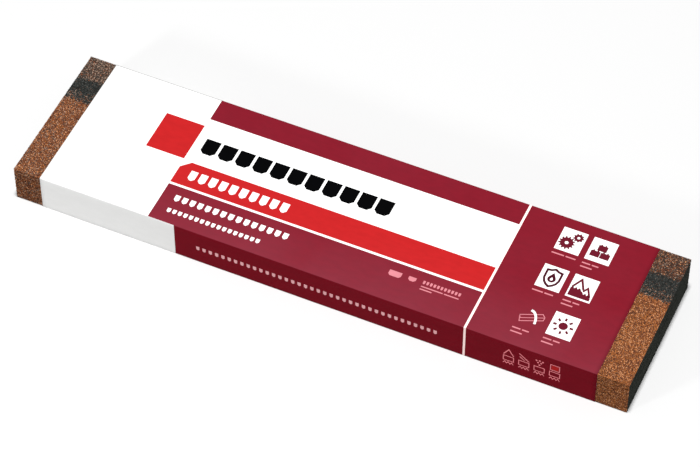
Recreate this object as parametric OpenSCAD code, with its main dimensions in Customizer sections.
// Bundle of ridge-and-eaves asphalt shingles in a printed film sleeve, in millimetres.
// The bundle lies flat on the floor. X runs along it, Y across it and Z up.
// The origin is the middle of the bundle's footprint, at floor level.

/* [Sheets] */
// Length of one shingle sheet, along the bundle
sheet_l = 1000; // [600:1:1200]
// Width of one shingle sheet, across the bundle
sheet_w = 256; // [150:1:400]
// Thickness of one sheet, mineral granules included
sheet_t = 3.2; // [2.4:0.1:5]
// Number of sheets in the bundle
sheet_count = 20; // [14:1:30]
// Rounding of each sheet's long edges
sheet_edge_r = 0.8; // [0.2:0.1:1.1]

/* [Stacking] */
// Air between two sheets
sheet_gap = 0.1; // [0.05:0.01:0.3]
// Farthest that a sheet has slipped from its place, endways or sideways
slip = 0.2; // [0:0.1:1.5]

/* [Sleeve] */
// Length of stack that the sleeve leaves bare at the left end
bare_left = 45; // [10:1:120]
// Length of stack that the sleeve leaves bare at the right end
bare_right = 49; // [10:1:120]
// Thickness of the sleeve's film
film_t = 0.25; // [0.15:0.01:0.6]
// Air between the film and the sheets that it holds
film_clear = 0.1; // [0.05:0.01:0.3]
// Width of the glued lap, where the film's two edges overlap
lap_w = 25; // [10:1:32]

/* [Hidden] */
$fn = 48;
// A turn that spreads the slips of successive sheets evenly, in degrees
slip_turn = 137.5;
// What sets the sideways slips apart from the endways ones, in degrees
sideways_turn = 77;
// Height from one sheet's underside to the next one's
pitch = sheet_t + sheet_gap;
// Height of the whole stack
stack_h = sheet_count * pitch - sheet_gap;
// Room beside the straight stack, for the sheets that have slipped
side_room = slip + film_clear;
// The space that the film encloses
inner_w = sheet_w + 2 * side_room;
inner_h = stack_h + 2 * film_clear;
inner_r = sheet_edge_r + film_clear;
// The sleeve's outer size
outer_w = inner_w + 2 * film_t;
outer_h = inner_h + 2 * film_t;
outer_r = inner_r + film_t;
// The sleeve covers what the two ends leave
sleeve_l = sheet_l - bare_left - bare_right;
sleeve_x = (bare_left - bare_right) / 2;
// The lowest sheet's underside, above the floor
stack_z = film_t + film_clear;

function slip_x(i) = slip * sin(i * slip_turn);
function slip_y(i) = slip * sin(i * slip_turn + sideways_turn);

// A rectangle with true round corners, centred on the origin
module round_rect(w, h, r) {
    square([w - 2 * r, h], center = true);
    square([w, h - 2 * r], center = true);
    for (x = [-1, 1], y = [-1, 1])
        translate([x * (w / 2 - r), y * (h / 2 - r)]) circle(r);
}

// A section drawn in Y and Z, swept along X and centred on X = 0
module along_x(length) {
    rotate([90, 0, 90])
        translate([0, 0, -length / 2])
            linear_extrude(length) children();
}

module sheet() {
    along_x(sheet_l) round_rect(sheet_w, sheet_t, sheet_edge_r);
}

// Each sheet lies on the one below, a little out of line with it
module shingle_sheets() {
    color("saddlebrown")
        for (i = [0 : sheet_count - 1])
            translate([slip_x(i), slip_y(i), stack_z + i * pitch + sheet_t / 2]) sheet();
}

// One film drawn round the stack, its two edges lapped and glued on the rear side
module sleeve() {
    color("firebrick")
        translate([sleeve_x, 0, outer_h / 2])
            along_x(sleeve_l) {
                difference() {
                    round_rect(outer_w, outer_h, outer_r);
                    round_rect(inner_w, inner_h, inner_r);
                }
                translate([outer_w / 2, -lap_w / 2]) square([film_t, lap_w]);
            }
}

shingle_sheets();
sleeve();
